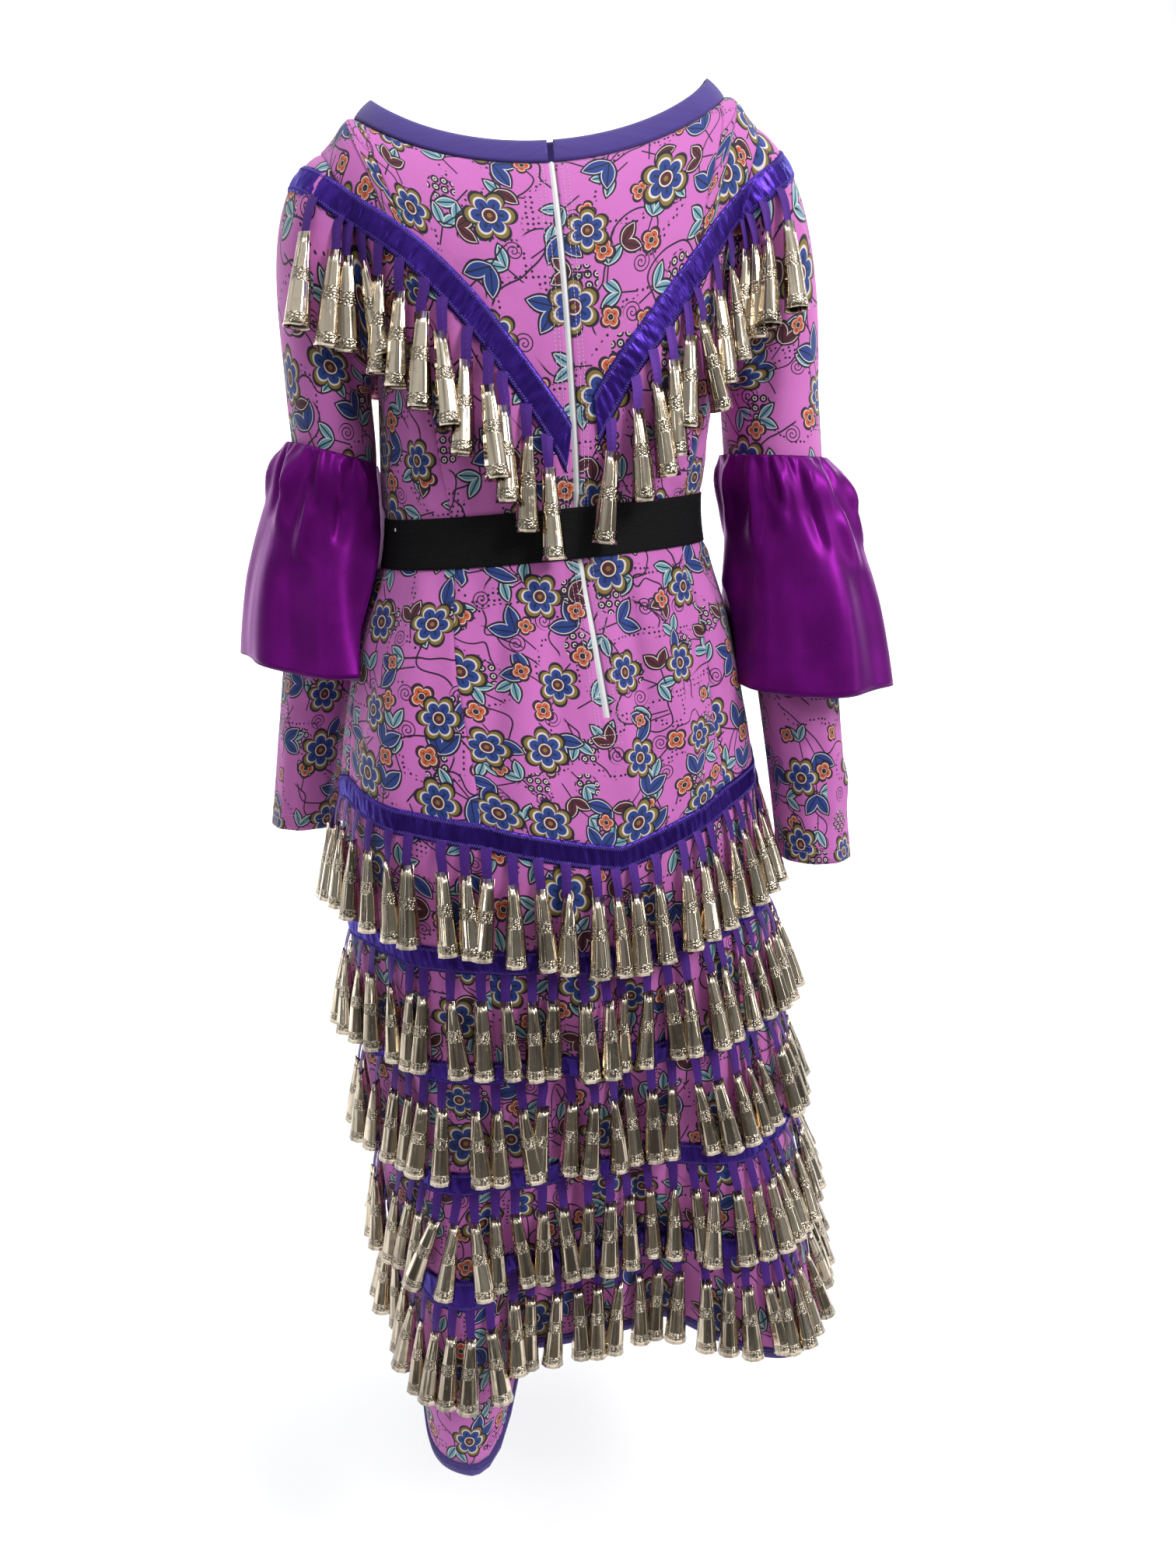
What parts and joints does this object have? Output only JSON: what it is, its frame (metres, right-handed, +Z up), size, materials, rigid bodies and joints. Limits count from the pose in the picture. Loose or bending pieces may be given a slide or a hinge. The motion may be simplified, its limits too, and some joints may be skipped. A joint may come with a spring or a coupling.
{
  "type": "jingle dress",
  "caption": "Worn-shape hollow jingle dress: printed princess-seam body, V yoke and skirt rows of ribbon with metal cones, long sleeves with satin flounces, elastic belt and front zip.",
  "frame": {"origin": "on the body's axis at neck level, inside the neck opening, where the wearer's neck and shoulders hold the dress", "axes": "+Z up, from the hem to the neck; the front faces -Y; +X is the wearer's left"},
  "size_m": [0.6522, 0.3974, 1.3539],
  "materials": {
    "print": "matte printed cotton, orchid pink with blue and dark violet flowers",
    "binding": "matte blue-violet cotton",
    "trim": "blue-violet satin ribbon, zigzag stitched",
    "flounce": "magenta-purple satin",
    "belt": "black ribbed elastic",
    "zip": "white coil and tape",
    "cone": "rolled tinplate, satin, pale warm nickel",
    "pearl": "pearl bead"
  },
  "bodies": {
    "root": {"Front_Center": "print", "Front_Side_R": "print", "Front_Side_L": "print", "Back": "print", "Sleeve_R": "print", "Sleeve_L": "print", "Flounce_R": "flounce", "Flounce_L": "flounce", "Neck_Binding": "binding", "Hem_Binding": "binding", "Zip": "zip", "Yoke_Ribbon_R": "trim", "Yoke_Ribbon_L": "trim", "Belt": "belt", "Belt_Pin": "pearl", "Yoke_Jingles_R": "cone", "Yoke_Jingles_L": "cone", "Skirt_Ribbon_1": "trim", "Skirt_Jingles_1": "cone", "Skirt_Ribbon_2": "trim", "Skirt_Jingles_2": "cone", "Skirt_Ribbon_3": "trim", "Skirt_Jingles_3": "cone", "Skirt_Ribbon_4": "trim", "Skirt_Jingles_4": "cone", "Skirt_Ribbon_5": "trim", "Skirt_Jingles_5": "cone"}
  },
  "joints": []
}
